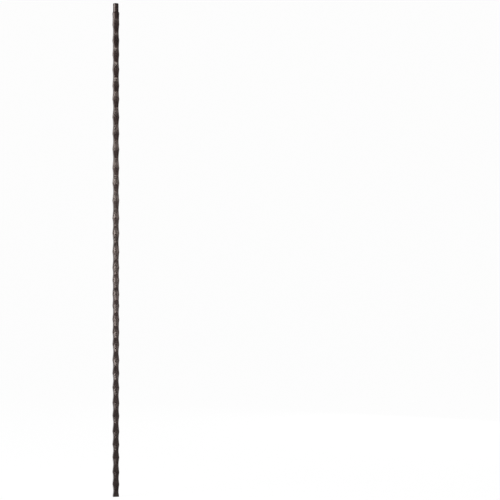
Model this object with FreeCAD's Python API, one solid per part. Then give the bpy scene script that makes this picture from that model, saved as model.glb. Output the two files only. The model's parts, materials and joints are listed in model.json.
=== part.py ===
import FreeCAD, Part
import math
import os

# Iron stair baluster: one square bar, hammered on its four sides, with a round pin turned on its top end.
# The foot rests on the origin and the bar runs up Z. The front looks along -Y. Sizes are in millimetres.

# The bar and its two ends
LENGTH = 1117.6
BAR_WIDTH = 14.8
ACROSS_CORNER_FLATS = 16.2
PIN_DIAMETER = 12.7
PIN_LENGTH = 19.05
PIN_TIP_CHAMFER = 1.0
SHOULDER_BEVEL_HEIGHT = 5.0

# The hammered dents, in runs from the foot up: length of the run, spacing of its ridges, depth of its dents.
# The runs stretch together to fill the bar.
HAMMER_RUNS = (
    (152.0, 30.4, 1.90),
    (195.0, 32.5, 1.80),
    (174.5, 29.1, 1.40),
    (380.5, 38.0, 1.85),
    (170.0, 34.0, 1.50),
)
TOP_DENT_LENGTH = 25.0
TOP_DENT_DEPTH = 0.6
FOOT_CUT = 3.5  # part of the lowest dent that the saw took off
SPACING_SCATTER = 0.06  # how far a ridge strays from even spacing, as a share of the spacing
DEPTH_SCATTER = 0.14  # how far a dent strays from the depth of its run, as a share of the depth

# A dent of the front or the left side curves in from its upper ridge, lies flat, then ramps out from a crease.
CURVE_SHARE = 0.38
FLAT_SHARE = 0.16

GOLDEN_ANGLE = math.pi * (3.0 - math.sqrt(5.0))

half_width = BAR_WIDTH / 2.0
pin_radius = PIN_DIAMETER / 2.0
shoulder_height = LENGTH - PIN_LENGTH
bevel_start = shoulder_height - SHOULDER_BEVEL_HEIGHT
corner_reach = math.hypot(half_width, ACROSS_CORNER_FLATS / math.sqrt(2.0) - half_width)
blank_reach = 2.0 * BAR_WIDTH


def stray(number, turn):
    """Even-handed unevenness of hand work, from -1 to 1, for the blow of this number."""
    return math.sin(GOLDEN_ANGLE * number + turn)


def side_blows():
    """Ridge heights of the left and right sides from the foot up, and the depth of the dent above each ridge."""
    hammered = bevel_start - TOP_DENT_LENGTH + FOOT_CUT
    stretch = hammered / sum(run[0] for run in HAMMER_RUNS)
    heights = []
    depths = []
    run_start = -FOOT_CUT
    for run_length, spacing, depth in HAMMER_RUNS:
        run_length = run_length * stretch
        count = max(1, round(run_length / spacing))
        step = run_length / count
        for number in range(count):
            blow = len(heights)
            heights.append(run_start + step * (number + SPACING_SCATTER * stray(blow, 0.0)))
            depths.append(depth * (1.0 + DEPTH_SCATTER * stray(blow, 2.0)))
        run_start = run_start + run_length
    heights.append(run_start)
    depths.append(TOP_DENT_DEPTH)
    heights.append(bevel_start)
    return heights, depths


def front_blows(side_heights, side_depths):
    """Ridge heights and dent depths of the front and back, half a spacing away from those of the sides."""
    heights = [(low + high) / 2.0 for low, high in zip(side_heights, side_heights[1:])]
    lowest = heights[0] - (side_heights[1] - side_heights[0])
    depths = [(low + high) / 2.0 for low, high in zip(side_depths, side_depths[1:])]
    return [lowest] + heights, [side_depths[0]] + depths


def plain_dent(low, high, depth):
    """A dent of the right side, as one arc from its lower ridge to its upper one."""
    start = FreeCAD.Vector(half_width, 0, low)
    bottom = FreeCAD.Vector(half_width - depth, 0, (low + high) / 2.0)
    end = FreeCAD.Vector(half_width, 0, high)
    return [Part.Arc(start, bottom, end).toShape()]


def creased_dent(low, high, depth):
    """A dent of the left side, from its upper ridge down: an arc into the flat, the flat, and the ramp."""
    curve = CURVE_SHARE * (high - low)
    flat = FLAT_SHARE * (high - low)
    radius = (curve * curve + depth * depth) / (2.0 * depth)
    half_turn = math.asin(curve / radius) / 2.0
    floor = depth - half_width
    arc_rise = radius * math.sin(half_turn)
    arc_lift = radius * (1.0 - math.cos(half_turn))
    upper_ridge = FreeCAD.Vector(-half_width, 0, high)
    arc_middle = FreeCAD.Vector(floor - arc_lift, 0, high - curve + arc_rise)
    arc_end = FreeCAD.Vector(floor, 0, high - curve)
    crease = FreeCAD.Vector(floor, 0, high - curve - flat)
    lower_ridge = FreeCAD.Vector(-half_width, 0, low)
    return [
        Part.Arc(upper_ridge, arc_middle, arc_end).toShape(),
        Part.makeLine(arc_end, crease),
        Part.makeLine(crease, lower_ridge),
    ]


def hammered_slab(heights, depths):
    """The bar as the dies leave it on two opposite sides, still wide the other way."""
    low = heights[0]
    high = heights[-1]
    dents = list(zip(heights, heights[1:], depths))
    edges = []
    for dent in dents:
        edges += plain_dent(*dent)
    edges.append(Part.makeLine(FreeCAD.Vector(half_width, 0, high), FreeCAD.Vector(half_width, 0, LENGTH)))
    edges.append(Part.makeLine(FreeCAD.Vector(half_width, 0, LENGTH), FreeCAD.Vector(-half_width, 0, LENGTH)))
    edges.append(Part.makeLine(FreeCAD.Vector(-half_width, 0, LENGTH), FreeCAD.Vector(-half_width, 0, high)))
    for dent in reversed(dents):
        edges += creased_dent(*dent)
    edges.append(Part.makeLine(FreeCAD.Vector(-half_width, 0, low), FreeCAD.Vector(half_width, 0, low)))
    outline = Part.Face(Part.Wire(edges))
    outline.translate(FreeCAD.Vector(0, -blank_reach / 2.0, 0))
    return outline.extrude(FreeCAD.Vector(0, blank_reach, 0))


def corner_flat_bar():
    """The square bar on edge, whose sides are the flats along the four corners."""
    bar = Part.makeBox(ACROSS_CORNER_FLATS, ACROSS_CORNER_FLATS, LENGTH)
    bar.translate(FreeCAD.Vector(-ACROSS_CORNER_FLATS / 2.0, -ACROSS_CORNER_FLATS / 2.0, 0))
    bar.rotate(FreeCAD.Vector(0, 0, 0), FreeCAD.Vector(0, 0, 1), 45)
    return bar


def turned_envelope():
    """What the lathe leaves: the full bar, a bevel above it, and the pin with its chamfered tip."""
    bar_radius = corner_reach + PIN_TIP_CHAMFER
    profile = [
        (0, 0),
        (bar_radius, 0),
        (bar_radius, bevel_start),
        (pin_radius, shoulder_height),
        (pin_radius, LENGTH - PIN_TIP_CHAMFER),
        (pin_radius - PIN_TIP_CHAMFER, LENGTH),
        (0, LENGTH),
        (0, 0),
    ]
    outline = Part.makePolygon([FreeCAD.Vector(radius, 0, height) for radius, height in profile])
    return Part.Face(outline).revolve(FreeCAD.Vector(0, 0, 0), FreeCAD.Vector(0, 0, 1), 360)


side_heights, side_depths = side_blows()
sides = hammered_slab(side_heights, side_depths)
front_and_back = hammered_slab(*front_blows(side_heights, side_depths))
front_and_back.rotate(FreeCAD.Vector(0, 0, 0), FreeCAD.Vector(0, 0, 1), 90)

baluster = corner_flat_bar().common(sides).common(front_and_back).common(turned_envelope())

os.makedirs("parts", exist_ok=True)
baluster.exportStep("parts/baluster.step")
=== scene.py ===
"""Iron stair baluster: a square bar hammered on its four sides, with a round pin on its top end."""

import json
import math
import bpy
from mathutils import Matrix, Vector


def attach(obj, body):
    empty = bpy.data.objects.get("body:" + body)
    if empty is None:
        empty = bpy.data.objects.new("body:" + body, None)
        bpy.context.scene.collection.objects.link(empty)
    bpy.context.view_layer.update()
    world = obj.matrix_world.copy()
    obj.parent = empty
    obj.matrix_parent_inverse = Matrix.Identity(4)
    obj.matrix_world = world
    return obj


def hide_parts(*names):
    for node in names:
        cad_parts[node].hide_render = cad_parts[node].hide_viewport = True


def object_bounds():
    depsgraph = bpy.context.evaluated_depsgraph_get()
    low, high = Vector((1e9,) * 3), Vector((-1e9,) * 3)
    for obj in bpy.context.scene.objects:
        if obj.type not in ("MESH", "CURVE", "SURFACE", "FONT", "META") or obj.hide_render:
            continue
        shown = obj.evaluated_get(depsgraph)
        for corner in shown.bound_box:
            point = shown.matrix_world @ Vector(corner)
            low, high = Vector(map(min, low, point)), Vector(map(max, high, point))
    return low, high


bl_info = {
    "name": "Hammered Stair Baluster",
    "version": (1, 0, 0),
    "blender": (4, 5, 0),
    "location": "View3D > Sidebar > Baluster",
    "description": "Forges a hammered iron stair baluster and stands it in a small white studio",
    "category": "Object",
}

import bpy
import numpy as np
from bpy.props import FloatProperty, FloatVectorProperty, PointerProperty
from mathutils import Vector, noise

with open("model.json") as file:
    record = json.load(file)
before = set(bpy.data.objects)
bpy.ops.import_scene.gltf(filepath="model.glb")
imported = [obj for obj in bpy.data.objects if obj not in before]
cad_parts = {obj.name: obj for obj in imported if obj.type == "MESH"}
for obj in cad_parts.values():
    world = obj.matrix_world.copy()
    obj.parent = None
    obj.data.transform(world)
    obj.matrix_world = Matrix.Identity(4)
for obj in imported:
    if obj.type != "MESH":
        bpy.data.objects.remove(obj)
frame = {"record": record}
cad_low, cad_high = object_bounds()

MM = 0.001
RAIL_PIN = next(mount for mount in frame["record"]["mounts"] if mount["name"] == "rail_pin")

# The hammered dents, in runs from the foot up, in mm: length of the run, spacing of its ridges and
# depth of its dents. The runs stretch together to fill the bar.
HAMMER_RUNS = (
    (152.0, 30.4, 1.90),
    (195.0, 32.5, 1.80),
    (174.5, 29.1, 1.40),
    (380.5, 38.0, 1.85),
    (170.0, 34.0, 1.50),
)

# How far a ridge strays from even spacing, and a dent from the depth of its run, as shares of
# them. The turn keeps the depths out of step with the spacing.
SPACING_SCATTER = 0.06
DEPTH_SCATTER = 0.14
DEPTH_TURN = 2.0
GOLDEN_ANGLE = math.pi * (3.0 - math.sqrt(5.0))

# A dent of the front or the left side curves in from its upper ridge, lies flat, then ramps out
# from a crease.
CURVE_SHARE = 0.38
FLAT_SHARE = 0.16

# A softened ridge or crease is averaged over so many places, of which the outermost weigh least.
BLUNT_PLACES = 9
BLUNT_LEAST_WEIGHT = 0.05

# How the bow and the lean of the ridges change along the bar, and from side to side.
BOW_CHANGE = 0.7
BOW_WAVE = 41.0 * MM
BOW_SHIFT = 1.7
LEAN_SHARE = 1.6
LEAN_WAVE = 57.0 * MM
LEAN_SHIFT = 2.3

# Largest share of a side or a corner flat that the rounding of one of its edges takes up.
ROUNDING_LIMIT = 0.4

# Sizes of the uneven marks: broad and fine ones in the dents, and those across the corner flats.
BROAD_MARKS = 9.0 * MM
FINE_MARKS = 4.0 * MM
BROAD_SHARE = 0.65
CROSS_MARKS = 3.2 * MM
CROSS_STRETCH = np.array((0.3, 0.3, 1.0))

# How thin the coat lies, from 0 to 1: on the edges, the ridges, the corner flats, the turned pin
# and the two end faces.
EDGE_WEAR = 0.8
RIDGE_WEAR = 0.75
RIDGE_WEAR_REACH = 1.6 * MM
FLAT_WEAR = 0.75
FLAT_WEAR_CHANGE = 0.25
PIN_WEAR = 0.15
END_WEAR = 0.2

# How dull the coat is: on the dented sides, and on the edges, corner flats, pin and end faces.
SIDE_DULL = 0.0
FLAT_DULL = 1.0

# Points round one section of the bar: on each side between its corners, on each corner flat, and on
# each rounded edge.
SIDE_POINTS = 5
FLAT_POINTS = 2
EDGE_POINTS = 4

# Rings of the mesh on the bevel and the pin, and the angle from which an edge is shaded sharp.
BEVEL_RING_SPACING = 0.25 * MM
PIN_RINGS = 13
SHARP_ANGLE = math.radians(28.0)

# Front, right, back and left side: the way each one faces, and the way the section runs along it.
OUTWARD = ((0.0, -1.0), (1.0, 0.0), (0.0, 1.0), (-1.0, 0.0))
ALONG = ((1.0, 0.0), (0.0, 1.0), (-1.0, 0.0), (0.0, -1.0))

# How much the draw marks of the iron change the tone and the gloss of the coat.
DRAW_MARK_TONE = 0.25
DRAW_MARK_GLOSS = 0.05

# Share of the paper that is evenly white under any light. The rest of it takes the shadow.
EVEN_WHITE = 0.97

# The sheet of background paper, in metres.
SHEET_FRONT = -16.0
SHEET_BEND_START = 8.0
SHEET_BEND_RADIUS = 2.0
SHEET_BEND_STEPS = 12
SHEET_TOP = 7.0
SHEET_HALF_WIDTH = 14.0

# The lamps round the bar: name, setting of the power, degrees to the right of the front, distance,
# heights of the lamp and of the spot that it faces as shares of the length of the bar, width and
# height of the lamp, and the spread in degrees that its grid leaves.
# The key hangs above the bar, so that the sides do not mirror it to a level eye. The grids keep
# most of the fill and the card off the foot.
LAMPS = (
    ("key_softbox", "key_power", -66.0, 1.8, 1.20, 0.65, 0.80, 0.90, 180.0),
    ("rim_softbox", "rim_power", 97.0, 2.2, 0.65, 0.65, 1.00, 1.00, 180.0),
    ("fill_softbox", "fill_power", -8.0, 1.6, 0.50, 0.65, 0.30, 0.40, 50.0),
    ("card_panel", "card_power", 21.0, 1.6, 0.55, 0.55, 0.34, 0.45, 40.0),
    ("back_softbox", "back_power", 135.0, 2.2, 0.65, 0.65, 1.20, 1.20, 180.0),
)
TOP_PANEL_PLACE = (0.0, -0.5, 3.2)
TOP_PANEL_SIZE = 3.0
FLOOR_CENTRE = (0.0, 0.0, 0.0)

CAMERA_REACH = 100.0  # how far the camera sees, in metres


def linear(hex_colour):
    """An sRGB hex colour as linear red, green and blue."""
    values = [int(hex_colour[place : place + 2], 16) / 255.0 for place in (1, 3, 5)]
    return tuple(v / 12.92 if v <= 0.04045 else ((v + 0.055) / 1.055) ** 2.4 for v in values)


class BalusterBar(bpy.types.PropertyGroup):
    """Sizes of the forged bar"""

    length: FloatProperty(
        name="Length",
        description="From the sawn foot to the tip of the pin",
        default=cad_high.z - cad_low.z,
        min=0.3,
        unit="LENGTH",
    )
    width: FloatProperty(
        name="Width",
        description="Across the ridges of two opposite sides",
        default=cad_high.x - cad_low.x,
        min=0.005,
        unit="LENGTH",
    )
    across_flats: FloatProperty(
        name="Across Corner Flats",
        description="From one corner flat to the opposite one",
        default=16.2 * MM,
        min=0.005,
        unit="LENGTH",
    )
    pin_diameter: FloatProperty(
        name="Pin Diameter",
        description="Diameter of the round pin that enters the handrail",
        default=2.0 * RAIL_PIN["dims"]["r_mm"] * MM,
        min=0.002,
        unit="LENGTH",
    )
    pin_length: FloatProperty(
        name="Pin Length",
        description="From the shoulder to the tip of the pin",
        default=19.05 * MM,
        min=0.002,
        unit="LENGTH",
    )
    tip_chamfer: FloatProperty(
        name="Tip Chamfer",
        description="Chamfer on the tip of the pin",
        default=1.0 * MM,
        min=0.0001,
        unit="LENGTH",
    )
    bevel_height: FloatProperty(
        name="Shoulder Bevel",
        description="Height of the turned bevel under the pin",
        default=5.0 * MM,
        min=0.0005,
        unit="LENGTH",
    )
    top_dent_length: FloatProperty(
        name="Top Dent Length",
        description="Length of the last, shallow dent below the bevel",
        default=25.0 * MM,
        min=0.005,
        unit="LENGTH",
    )
    top_dent_depth: FloatProperty(
        name="Top Dent Depth",
        description="Depth of the last, shallow dent",
        default=0.6 * MM,
        min=0.0001,
        unit="LENGTH",
    )
    foot_cut: FloatProperty(
        name="Foot Cut",
        description="Part of the lowest dent that the saw took off",
        default=3.5 * MM,
        min=0.0005,
        unit="LENGTH",
    )
    foot_break: FloatProperty(
        name="Foot Edge Break",
        description="Width of the filed edge round the sawn foot",
        default=0.35 * MM,
        min=0.00005,
        unit="LENGTH",
    )
    edge_round: FloatProperty(
        name="Edge Round",
        description="How far the rounding of an edge reaches on to the side and the corner flat",
        default=0.45 * MM,
        min=0.00005,
        unit="LENGTH",
    )
    ridge_blunt: FloatProperty(
        name="Ridge Blunting",
        description="Reach of the softening of the ridges and creases, up and down the bar",
        default=0.9 * MM,
        min=0.00005,
        unit="LENGTH",
    )
    ridge_bow: FloatProperty(
        name="Ridge Bow",
        description="How far a ridge arches up in the middle of a side, on average",
        default=1.1 * MM,
        min=0.0,
        unit="LENGTH",
    )
    front_crown: FloatProperty(
        name="Front Crown",
        description="How far the middle of the front and of the back stands out beyond their edges",
        default=0.42 * MM,
        min=0.0,
        unit="LENGTH",
    )
    unevenness: FloatProperty(
        name="Unevenness",
        description="Depth of the small uneven marks that the hammer leaves in a dent",
        default=0.04 * MM,
        min=0.0,
        unit="LENGTH",
    )
    flat_ripple: FloatProperty(
        name="Corner Ripple",
        description="Depth of the cross marks on the corner flats",
        default=0.01 * MM,
        min=0.0,
        unit="LENGTH",
    )
    ring_spacing: FloatProperty(
        name="Ring Spacing",
        description="Distance between the rings of the mesh",
        default=0.8 * MM,
        min=0.0003,
        unit="LENGTH",
    )


class BalusterFinish(bpy.types.PropertyGroup):
    """Colours and grain of the powder coat"""

    coat_dark: FloatVectorProperty(
        name="Coat, Dark",
        description="Darker tone of the bronze black coat",
        subtype="COLOR",
        size=3,
        min=0.0,
        max=1.0,
        default=linear("#150e0e"),
    )
    coat_light: FloatVectorProperty(
        name="Coat, Light",
        description="Lighter tone of the bronze black coat",
        subtype="COLOR",
        size=3,
        min=0.0,
        max=1.0,
        default=linear("#221918"),
    )
    coat_rubbed: FloatVectorProperty(
        name="Coat, Rubbed",
        description="Tone on the ridges and corner flats, where the coat lies thin",
        subtype="COLOR",
        size=3,
        min=0.0,
        max=1.0,
        default=linear("#2e2321"),
    )
    roughness: FloatProperty(
        name="Roughness",
        description="Mean roughness of the satin coat",
        default=0.27,
        min=0.05,
        max=1.0,
        subtype="FACTOR",
    )
    dulling: FloatProperty(
        name="Dulling",
        description="How much rougher the coat is on the corner flats and the turned pin",
        default=0.09,
        min=0.0,
        max=0.5,
        subtype="FACTOR",
    )
    mottle_size: FloatProperty(
        name="Mottle Size",
        description="Width of the cloudy patches in the coat",
        default=14.0 * MM,
        min=0.001,
        unit="LENGTH",
    )
    peel_size: FloatProperty(
        name="Orange Peel Size",
        description="Width of the small waves that the coat dries with",
        default=2.2 * MM,
        min=0.0003,
        unit="LENGTH",
    )
    streak_width: FloatProperty(
        name="Streak Width",
        description="Width of the lengthwise draw marks in the iron",
        default=1.3 * MM,
        min=0.0003,
        unit="LENGTH",
    )
    streak_length: FloatProperty(
        name="Streak Length",
        description="Length of the lengthwise draw marks in the iron",
        default=45.0 * MM,
        min=0.003,
        unit="LENGTH",
    )


class BalusterStage(bpy.types.PropertyGroup):
    """Light and camera of the studio"""

    backdrop: FloatVectorProperty(
        name="Backdrop",
        description="Colour of the floor and the backdrop",
        subtype="COLOR",
        size=3,
        min=0.0,
        max=1.0,
        default=linear("#ffffff"),
    )
    room: FloatVectorProperty(
        name="Room",
        description="Light of the room round the bar",
        subtype="COLOR",
        size=3,
        min=0.0,
        max=1.0,
        default=linear("#8e8e8e"),
    )
    key_power: FloatProperty(
        name="Key Power",
        description="Power of the high softbox at the left",
        default=70.0,
        min=0.0,
        unit="POWER",
    )
    fill_power: FloatProperty(
        name="Fill Power",
        description="Power of the gridded softbox beside the camera",
        default=1.8,
        min=0.0,
        unit="POWER",
    )
    rim_power: FloatProperty(
        name="Rim Power",
        description="Power of the weak softbox at the right",
        default=6.5,
        min=0.0,
        unit="POWER",
    )
    card_power: FloatProperty(
        name="Card Power",
        description="Power of the small gridded panel at the right of the camera",
        default=0.21,
        min=0.0,
        unit="POWER",
    )
    back_power: FloatProperty(
        name="Back Power",
        description="Power of the softbox that lights the back",
        default=22.0,
        min=0.0,
        unit="POWER",
    )
    top_power: FloatProperty(
        name="Top Power",
        description="Power of the large panel overhead",
        default=3.0,
        min=0.0,
        unit="POWER",
    )
    lens: FloatProperty(
        name="Lens",
        description="Focal length of the camera in millimetres",
        default=135.0,
        min=20.0,
    )
    view_turn: FloatProperty(
        name="View Turn",
        description="How far the camera stands to the right of the front; to the left if negative",
        default=math.radians(-9.0),
        subtype="ANGLE",
        unit="ROTATION",
    )
    frame_height: FloatProperty(
        name="Frame Height",
        description="Height of the picture in the plane of the bar",
        default=1133.0 * MM,
        min=0.1,
        unit="LENGTH",
    )
    bar_to_centre: FloatProperty(
        name="Bar to Centre",
        description="How far the bar stands left of the middle of the picture",
        default=304.0 * MM,
        unit="LENGTH",
    )


def stray(number, turn):
    """Even-handed unevenness of hand work, from -1 to 1, for the blow of this number."""
    return math.sin(GOLDEN_ANGLE * number + turn)


def bevel_foot(bar):
    """Height at which the turned bevel under the pin starts."""
    return bar.length - bar.pin_length - bar.bevel_height


def side_blows(bar):
    """Ridge heights of the left and right sides from the foot up, and the depth of each dent."""
    hammered = bevel_foot(bar) - bar.top_dent_length + bar.foot_cut
    stretch = hammered / sum(run[0] for run in HAMMER_RUNS)
    heights = []
    depths = []
    run_start = -bar.foot_cut
    for run_length, spacing, depth in HAMMER_RUNS:
        run_length = run_length * stretch
        count = max(1, round(run_length / (spacing * MM)))
        step = run_length / count
        for number in range(count):
            blow = len(heights)
            heights.append(run_start + step * (number + SPACING_SCATTER * stray(blow, 0.0)))
            depths.append(depth * MM * (1.0 + DEPTH_SCATTER * stray(blow, DEPTH_TURN)))
        run_start = run_start + run_length
    heights.append(run_start)
    depths.append(bar.top_dent_depth)
    heights.append(bevel_foot(bar))
    return np.array(heights), np.array(depths)


def front_blows(side_heights, side_depths):
    """Ridges and dents of the front and back, half a spacing away from those of the sides."""
    heights = (side_heights[:-1] + side_heights[1:]) / 2.0
    lowest = heights[0] - (side_heights[1] - side_heights[0])
    depths = (side_depths[:-1] + side_depths[1:]) / 2.0
    return np.append(lowest, heights), np.append(side_depths[0], depths)


def dent_at(z, ridges, depths):
    """Lower ridge, upper ridge and depth of the dent that each height lies in."""
    dent = np.clip(np.searchsorted(ridges, z, side="right") - 1, 0, len(depths) - 1)
    return ridges[dent], ridges[dent + 1], depths[dent]


def plain_dents(z, ridges, depths):
    """How far a side with plainly round dents lies inside the full width."""
    low, high, depth = dent_at(z, ridges, depths)
    half = (high - low) / 2.0
    radius = (half**2 + depth**2) / (2.0 * depth)
    off = np.clip(z, low, high) - (low + high) / 2.0
    return depth - radius + np.sqrt(radius**2 - off**2)


def creased_dents(z, ridges, depths):
    """How far a side with creased dents lies inside the full width.

    From its upper ridge down, each dent has a curve, a flat and a ramp.
    """
    low, high, depth = dent_at(z, ridges, depths)
    pitch = high - low
    curve = CURVE_SHARE * pitch
    crease = (CURVE_SHARE + FLAT_SHARE) * pitch
    radius = (curve**2 + depth**2) / (2.0 * depth)
    down = np.clip(high - z, 0.0, pitch)
    short = np.maximum(curve - down, 0.0)
    curved = depth - radius + np.sqrt(radius**2 - short**2)
    ramped = depth * (pitch - down) / (pitch - crease)
    return np.where(down < crease, curved, ramped)


def blunted(dents, z, blows, reach):
    """The dents with their ridges and creases rubbed soft over this reach."""
    steps = np.linspace(-1.0, 1.0, BLUNT_PLACES)
    weights = 1.0 + BLUNT_LEAST_WEIGHT - np.abs(steps)
    total = sum(weight * dents(z + reach * step, *blows) for step, weight in zip(steps, weights))
    return total / weights.sum()


def ring_heights(bar):
    """Heights of the mesh rings: even along the bar, close on the bevel, few on the pin."""
    shoulder = bar.length - bar.pin_length
    start = bevel_foot(bar)
    side_rings = round((start - bar.foot_break) / bar.ring_spacing) + 1
    bevel_rings = round(bar.bevel_height / BEVEL_RING_SPACING) + 1
    along = np.linspace(bar.foot_break, start, side_rings)
    bevel = np.linspace(start, shoulder, bevel_rings)
    pin = np.linspace(shoulder, bar.length - bar.tip_chamfer, PIN_RINGS)
    return np.concatenate(([0.0], along, bevel[1:], pin[1:], [bar.length]))


def turned_radius(bar, z):
    """Radius that the lathe leaves: clear of the bar, then the bevel, the pin and its tip."""
    half = bar.width / 2.0
    pin_radius = bar.pin_diameter / 2.0
    corner_reach = math.hypot(half, bar.across_flats / math.sqrt(2.0) - half)
    clear = corner_reach + bar.tip_chamfer
    heights = [
        0.0,
        bevel_foot(bar),
        bar.length - bar.pin_length,
        bar.length - bar.tip_chamfer,
        bar.length,
    ]
    radii = [clear, clear, pin_radius, pin_radius, pin_radius - bar.tip_chamfer]
    return np.interp(z, heights, radii)


def rounded(before, corner, after, reach):
    """Points that take an edge of the bar round, from the line behind it to the line ahead."""
    ends = []
    for other in (before, after):
        line = other - corner
        span = np.linalg.norm(line, axis=1, keepdims=True)
        ends.append(corner + line / span * np.minimum(reach, ROUNDING_LIMIT * span))
    return [
        (1.0 - t) ** 2 * ends[0] + 2.0 * t * (1.0 - t) * corner + t**2 * ends[1]
        for t in np.linspace(0.0, 1.0, EDGE_POINTS)
    ]


def clouds(points, size):
    """Smooth uneven values from -1 to 1, at these points, with clouds of this size."""
    flat = points.reshape(-1, 3) / size
    return np.array([noise.noise(Vector(point)) for point in flat]).reshape(points.shape[:-1])


def side_ends(bar, crowns, insets):
    """Where each side starts and ends on the straight corner flats, before the edges get round."""
    corner_sum = bar.across_flats / math.sqrt(2.0)
    starts = []
    ends = []
    for side in range(4):
        out = bar.width / 2.0 - crowns[side] - insets[side]
        outward = out[:, None] * np.array(OUTWARD[side])
        along = (corner_sum - out)[:, None] * np.array(ALONG[side])
        starts.append(outward - along)
        ends.append(outward + along)
    return starts, ends


def bar_rings(bar):
    """Every ring of the bar as (ring, point, xyz), and how bare and dull the coat is there."""
    z = ring_heights(bar)
    sides = side_blows(bar)
    fronts = front_blows(*sides)
    blows = (fronts, sides, fronts, sides)
    dents = (creased_dents, plain_dents, plain_dents, creased_dents)
    crowns = (bar.front_crown, 0.0, bar.front_crown, 0.0)
    insets = [blunted(dents[side], z, blows[side], bar.ridge_blunt) for side in range(4)]
    starts, ends = side_ends(bar, crowns, insets)

    # Each line of points up the bar: its places, its wear and how dull it is.
    lines = []
    for side in range(4):
        after = (side + 1) % 4
        outward = np.array(OUTWARD[side])
        first_edge = rounded(ends[side - 1], starts[side], ends[side], bar.edge_round)
        last_edge = rounded(starts[side], ends[side], starts[after], bar.edge_round)
        next_edge = rounded(ends[side], starts[after], ends[after], bar.edge_round)
        lines += [(column, EDGE_WEAR, FLAT_DULL) for column in first_edge]

        # Each ridge arches and leans a little in its own way across the side.
        bow = bar.ridge_bow * (1.0 + BOW_CHANGE * np.sin(z / BOW_WAVE + BOW_SHIFT * side))
        lean = bar.ridge_bow * LEAN_SHARE * np.sin(z / LEAN_WAVE + LEAN_SHIFT * side)
        for place in range(1, SIDE_POINTS + 1):
            share = place / (SIDE_POINTS + 1)
            across = 2.0 * share - 1.0
            crown = 1.0 - across**2
            level = first_edge[-1] * (1.0 - share) + last_edge[0] * share
            shifted = z - crown * (bow + lean * across)
            inset = blunted(dents[side], shifted, blows[side], bar.ridge_blunt)
            column = level + (crowns[side] * crown + insets[side] - inset)[:, None] * outward
            spots = np.column_stack((column, z))
            broad = BROAD_SHARE * clouds(spots, BROAD_MARKS)
            marks = broad + (1.0 - BROAD_SHARE) * clouds(spots, FINE_MARKS)
            # The marks only sink in, so that nothing stands out beyond the width of the bar.
            sunk = bar.unevenness * crown**0.5 * (0.5 + 0.5 * marks)
            low, high, _ = dent_at(shifted, *blows[side])
            to_ridge = np.minimum(np.abs(shifted - low), np.abs(high - shifted))
            wear = RIDGE_WEAR * np.exp(-((to_ridge / RIDGE_WEAR_REACH) ** 2))
            lines.append((column - sunk[:, None] * outward, wear, SIDE_DULL))

        lines += [(column, EDGE_WEAR, FLAT_DULL) for column in last_edge]
        diagonal = (outward + np.array(OUTWARD[after])) / math.sqrt(2.0)
        for place in range(1, FLAT_POINTS + 1):
            share = place / (FLAT_POINTS + 1)
            column = last_edge[-1] * (1.0 - share) + next_edge[0] * share
            spots = np.column_stack((column, z))
            marks = clouds(spots * CROSS_STRETCH, CROSS_MARKS)
            sunk = bar.flat_ripple * (0.5 + 0.5 * marks)
            wear = FLAT_WEAR + FLAT_WEAR_CHANGE * marks
            lines.append((column - sunk[:, None] * diagonal, wear, FLAT_DULL))

    columns, wears, dulls = zip(*lines)
    section = np.stack(columns, axis=1)
    bare = np.stack([np.broadcast_to(wear, z.shape) for wear in wears], axis=1)
    dull = np.stack([np.broadcast_to(value, z.shape) for value in dulls], axis=1)

    # The file takes the edge off the foot, and the lathe cuts the bevel and the pin.
    section[0] *= 1.0 - bar.foot_break / (bar.width / 2.0)
    radius = np.linalg.norm(section, axis=2)
    limit = turned_radius(bar, z)[:, None]
    section *= np.minimum(1.0, limit / radius)[:, :, None]
    turned = radius > limit
    bare[turned] = PIN_WEAR
    dull[turned] = FLAT_DULL
    heights = np.broadcast_to(z[:, None, None], section.shape[:2] + (1,))
    return np.concatenate((section, heights), axis=2), np.clip(bare, 0.0, 1.0), dull


def bar_mesh(bar):
    """The whole bar as one closed mesh, with attributes for where its coat is bare and dull."""
    rings, bare, dull = bar_rings(bar)
    count, points = rings.shape[:2]
    numbers = np.arange(count * points).reshape(count, points)
    lower = numbers[:-1]
    upper = numbers[1:]
    corners = (lower, np.roll(lower, -1, axis=1), np.roll(upper, -1, axis=1), upper)
    faces = np.stack(corners, axis=2).reshape(-1, 4).tolist()
    foot = count * points
    tip = foot + 1
    for point in range(points):
        following = (point + 1) % points
        faces.append([foot, int(numbers[0, following]), int(numbers[0, point])])
        faces.append([tip, int(numbers[-1, point]), int(numbers[-1, following])])
    middles = [(0.0, 0.0, 0.0), (0.0, 0.0, bar.length)]
    mesh = bpy.data.meshes.new("baluster_forged")
    mesh.from_pydata(np.concatenate((rings.reshape(-1, 3), middles)), [], faces)
    for name, values, at_ends in (("bare", bare, END_WEAR), ("dull", dull, FLAT_DULL)):
        attribute = mesh.attributes.new(name, "FLOAT", "POINT")
        values = np.append(values.ravel(), (at_ends, at_ends))
        attribute.data.foreach_set("value", values.astype(np.float32))
    mesh.shade_smooth()
    mesh.set_sharp_from_angle(angle=SHARP_ANGLE)
    mesh.update()
    return mesh


def add_node(tree, kind, inputs, **settings):
    """Adds a shader node with its settings, and sets or links its inputs."""
    node = tree.nodes.new("ShaderNode" + kind)
    for name, value in settings.items():
        setattr(node, name, value)
    for socket, value in inputs.items():
        if isinstance(value, bpy.types.NodeSocket):
            tree.links.new(value, node.inputs[socket])
        else:
            node.inputs[socket].default_value = value
    return node


def new_material(name):
    """An empty material and its node tree."""
    material = bpy.data.materials.new(name)
    material.use_nodes = True
    material.node_tree.nodes.clear()
    return material, material.node_tree


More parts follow.
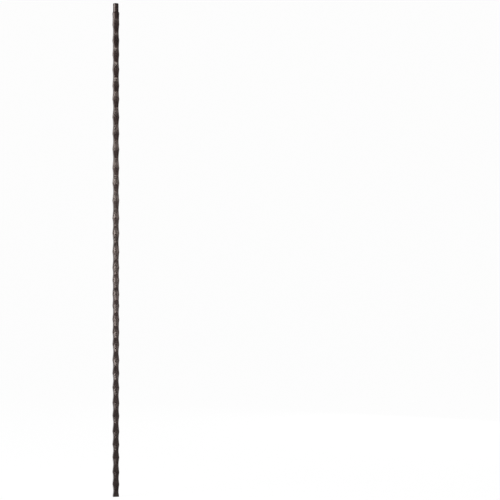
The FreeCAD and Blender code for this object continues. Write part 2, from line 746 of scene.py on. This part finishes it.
def powder_coat(finish):
    """Satin powder coat on hammered iron.

    The coat is sprayed on as powder and baked. It is bronze black and half glossy, with a fine
    orange peel, and it lies thin on ridges and corners, where the iron below warms and lightens it.
    The draw marks of the bar and the cloudy scale under the coat still show as faint streaks and
    patches.
    """
    material, tree = new_material("satin_powder_coat_on_iron")
    place = add_node(tree, "TexCoord", {}).outputs["Object"]
    mottle = add_node(
        tree,
        "TexNoise",
        {"Vector": place, "Scale": 1.0 / finish.mottle_size, "Detail": 3.0},
    )
    drawn = add_node(
        tree,
        "Mapping",
        {"Vector": place, "Scale": (1.0, 1.0, finish.streak_width / finish.streak_length)},
    )
    streak = add_node(
        tree,
        "TexNoise",
        {"Vector": drawn.outputs[0], "Scale": 1.0 / finish.streak_width, "Detail": 2.0},
    )
    # The real waves of the orange peel are about 1 mm wide. They are drawn twice as wide, so that
    # they show in a picture of the whole bar.
    peel = add_node(
        tree,
        "TexNoise",
        {"Vector": place, "Scale": 1.0 / finish.peel_size, "Detail": 1.0},
    )

    # Tone: cloudy and streaked between dark and light, and lighter where the coat is rubbed thin.
    tone = add_node(
        tree,
        "Math",
        {0: streak.outputs["Fac"], 1: DRAW_MARK_TONE, 2: mottle.outputs["Fac"]},
        operation="MULTIPLY_ADD",
    )
    patches = add_node(
        tree,
        "MapRange",
        {"Value": tone.outputs[0], "From Min": 0.45, "From Max": 0.80},
    )
    coat = add_node(
        tree,
        "Mix",
        {0: patches.outputs[0], 6: (*finish.coat_dark, 1.0), 7: (*finish.coat_light, 1.0)},
        data_type="RGBA",
    )
    bare = add_node(tree, "Attribute", {}, attribute_name="bare")
    worn = add_node(
        tree,
        "Math",
        {0: bare.outputs["Fac"], 1: streak.outputs["Fac"]},
        operation="MULTIPLY",
        use_clamp=True,
    )
    colour = add_node(
        tree,
        "Mix",
        {0: worn.outputs[0], 6: coat.outputs[2], 7: (*finish.coat_rubbed, 1.0)},
        data_type="RGBA",
    )

    # Gloss: the draw marks vary it. The scuffed corner flats, and the fine rings that the lathe
    # left on the pin, scatter the light more.
    gloss = add_node(
        tree,
        "MapRange",
        {
            "Value": streak.outputs["Fac"],
            "From Min": 0.3,
            "From Max": 0.7,
            "To Min": finish.roughness - DRAW_MARK_GLOSS,
            "To Max": finish.roughness + DRAW_MARK_GLOSS,
        },
    )
    dull = add_node(tree, "Attribute", {}, attribute_name="dull")
    dulled = add_node(
        tree,
        "Math",
        {0: dull.outputs["Fac"], 1: finish.dulling, 2: gloss.outputs[0]},
        operation="MULTIPLY_ADD",
    )

    # Relief: the waves of the orange peel, and the shallow grooves of the draw marks.
    waves = add_node(
        tree,
        "Bump",
        {"Height": peel.outputs["Fac"], "Strength": 0.12, "Distance": 0.12 * MM},
    )
    grooves = add_node(
        tree,
        "Bump",
        {
            "Height": streak.outputs["Fac"],
            "Strength": 0.12,
            "Distance": 0.10 * MM,
            "Normal": waves.outputs[0],
        },
    )
    coated = add_node(
        tree,
        "BsdfPrincipled",
        {
            "Base Color": colour.outputs[2],
            "Roughness": dulled.outputs[0],
            "Normal": grooves.outputs[0],
            "IOR": 1.5,
            "Specular IOR Level": 0.30,
            "Specular Tint": (1.0, 0.87, 0.80, 1.0),
        },
    )
    add_node(tree, "OutputMaterial", {"Surface": coated.outputs[0]})
    return material


def backdrop_paper(colour):
    """White background paper: matt, white to the eye and in reflections, with a soft shadow."""
    material, tree = new_material("white_background_paper")
    rays = add_node(tree, "LightPath", {})
    seen = add_node(
        tree,
        "Math",
        {0: rays.outputs["Is Camera Ray"], 1: rays.outputs["Is Glossy Ray"]},
        operation="MAXIMUM",
    )
    seen = add_node(
        tree,
        "Math",
        {0: seen.outputs[0], 1: rays.outputs["Is Transmission Ray"]},
        operation="MAXIMUM",
    )
    share = add_node(tree, "Math", {0: seen.outputs[0], 1: EVEN_WHITE}, operation="MULTIPLY")
    matt = add_node(tree, "BsdfDiffuse", {"Color": (*colour, 1.0)})
    even = add_node(tree, "Emission", {"Color": (*colour, 1.0), "Strength": 1.0})
    paper = add_node(
        tree,
        "MixShader",
        {0: share.outputs[0], 1: matt.outputs[0], 2: even.outputs[0]},
    )
    add_node(tree, "OutputMaterial", {"Surface": paper.outputs[0]})
    return material


def show(name, data):
    """Puts new data into the scene as an object of this name."""
    thing = bpy.data.objects.new(name, data)
    bpy.context.scene.collection.objects.link(thing)
    return thing


def paper_sweep():
    """The floor and the backdrop as one sheet that curves up behind the bar."""
    profile = [(SHEET_FRONT, 0.0), (SHEET_BEND_START, 0.0)]
    for step in range(1, SHEET_BEND_STEPS + 1):
        turn = math.pi / 2.0 * step / SHEET_BEND_STEPS
        y = SHEET_BEND_START + SHEET_BEND_RADIUS * math.sin(turn)
        profile.append((y, SHEET_BEND_RADIUS * (1.0 - math.cos(turn))))
    profile.append((SHEET_BEND_START + SHEET_BEND_RADIUS, SHEET_TOP))
    points = [(side * SHEET_HALF_WIDTH, y, z) for y, z in profile for side in (-1.0, 1.0)]
    rows = range(len(profile) - 1)
    faces = [(2 * row, 2 * row + 1, 2 * row + 3, 2 * row + 2) for row in rows]
    mesh = bpy.data.meshes.new("studio_sweep")
    mesh.from_pydata(points, [], faces)
    mesh.shade_smooth()
    return mesh


def round_the_bar(degrees, distance, height):
    """A place at this distance from the bar, so many degrees to the right of its front."""
    turn = math.radians(degrees)
    return (distance * math.sin(turn), -distance * math.cos(turn), height)


def softbox(name, place, target, width, height, power, spread=180.0):
    """A soft rectangular light that faces the target, with a grid if its spread is below 180."""
    light = bpy.data.lights.new(name, "AREA")
    light.shape = "RECTANGLE"
    light.size = width
    light.size_y = height
    light.energy = power
    light.spread = math.radians(spread)
    lamp = show(name, light)
    lamp.location = place
    lamp.rotation_euler = (Vector(target) - Vector(place)).to_track_quat("-Z", "Y").to_euler()
    lamp.visible_camera = False


class BALUSTER_OT_forge_bar(bpy.types.Operator):
    """Forge the hammered bar with its pin, and coat it"""

    bl_idname = "baluster.forge_bar"
    bl_label = "Forge Bar"

    def execute(self, context):
        scene = context.scene
        piece = show("baluster_forged", bar_mesh(scene.baluster_bar))
        piece.data.materials.append(powder_coat(scene.baluster_finish))
        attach(piece, "root")
        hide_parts("baluster")
        return {"FINISHED"}


class BALUSTER_OT_set_stage(bpy.types.Operator):
    """Set up the white floor, the lights and the camera"""

    bl_idname = "baluster.set_stage"
    bl_label = "Set Stage"

    def execute(self, context):
        scene = context.scene
        stage = scene.baluster_stage
        length = scene.baluster_bar.length

        sweep = show("studio_sweep", paper_sweep())
        sweep.data.materials.append(backdrop_paper(stage.backdrop))

        for name, setting, degrees, distance, stand, facing, width, height, spread in LAMPS:
            place = round_the_bar(degrees, distance, stand * length)
            target = (0.0, 0.0, facing * length)
            softbox(name, place, target, width, height, getattr(stage, setting), spread)
        panel = (TOP_PANEL_SIZE, TOP_PANEL_SIZE)
        softbox("top_panel", TOP_PANEL_PLACE, FLOOR_CENTRE, *panel, stage.top_power)

        world = bpy.data.worlds.new("studio_room")
        world.use_nodes = True
        background = world.node_tree.nodes["Background"]
        background.inputs["Color"].default_value = (*stage.room, 1.0)
        background.inputs["Strength"].default_value = 1.0
        scene.world = world

        camera_data = bpy.data.cameras.new("studio_camera")
        camera_data.lens = stage.lens
        camera = show("studio_camera", camera_data)
        far = stage.frame_height * stage.lens / camera_data.sensor_width
        turn = stage.view_turn - math.atan2(stage.bar_to_centre, far)
        ahead = Vector((-math.sin(turn), math.cos(turn), 0.0))
        right = Vector((math.cos(turn), math.sin(turn), 0.0))
        middle = Vector((0.0, 0.0, length / 2.0))
        camera.location = right * stage.bar_to_centre - ahead * far + middle
        camera.rotation_euler = (math.radians(90.0), 0.0, turn)
        camera_data.clip_end = CAMERA_REACH
        scene.camera = camera
        scene.view_settings.view_transform = "Standard"
        return {"FINISHED"}


class BALUSTER_PT_sidebar(bpy.types.Panel):
    """Sizes, colours and buttons of the baluster"""

    bl_idname = "BALUSTER_PT_sidebar"
    bl_label = "Stair Baluster"
    bl_space_type = "VIEW_3D"
    bl_region_type = "UI"
    bl_category = "Baluster"

    def draw(self, context):
        scene = context.scene
        for operator, group in (
            (BALUSTER_OT_forge_bar, scene.baluster_bar),
            (None, scene.baluster_finish),
            (BALUSTER_OT_set_stage, scene.baluster_stage),
        ):
            box = self.layout.box()
            for name in type(group).__annotations__:
                box.prop(group, name)
            if operator:
                box.operator(operator.bl_idname)


CLASSES = (
    BalusterBar,
    BalusterFinish,
    BalusterStage,
    BALUSTER_OT_forge_bar,
    BALUSTER_OT_set_stage,
    BALUSTER_PT_sidebar,
)


def register():
    for item in CLASSES:
        bpy.utils.register_class(item)
    bpy.types.Scene.baluster_bar = PointerProperty(type=BalusterBar)
    bpy.types.Scene.baluster_finish = PointerProperty(type=BalusterFinish)
    bpy.types.Scene.baluster_stage = PointerProperty(type=BalusterStage)


def unregister():
    del bpy.types.Scene.baluster_stage
    del bpy.types.Scene.baluster_finish
    del bpy.types.Scene.baluster_bar
    for item in reversed(CLASSES):
        bpy.utils.unregister_class(item)


def main():
    register()
    bpy.ops.baluster.forge_bar()
    bpy.ops.baluster.set_stage()


if __name__ == "__main__":
    main()
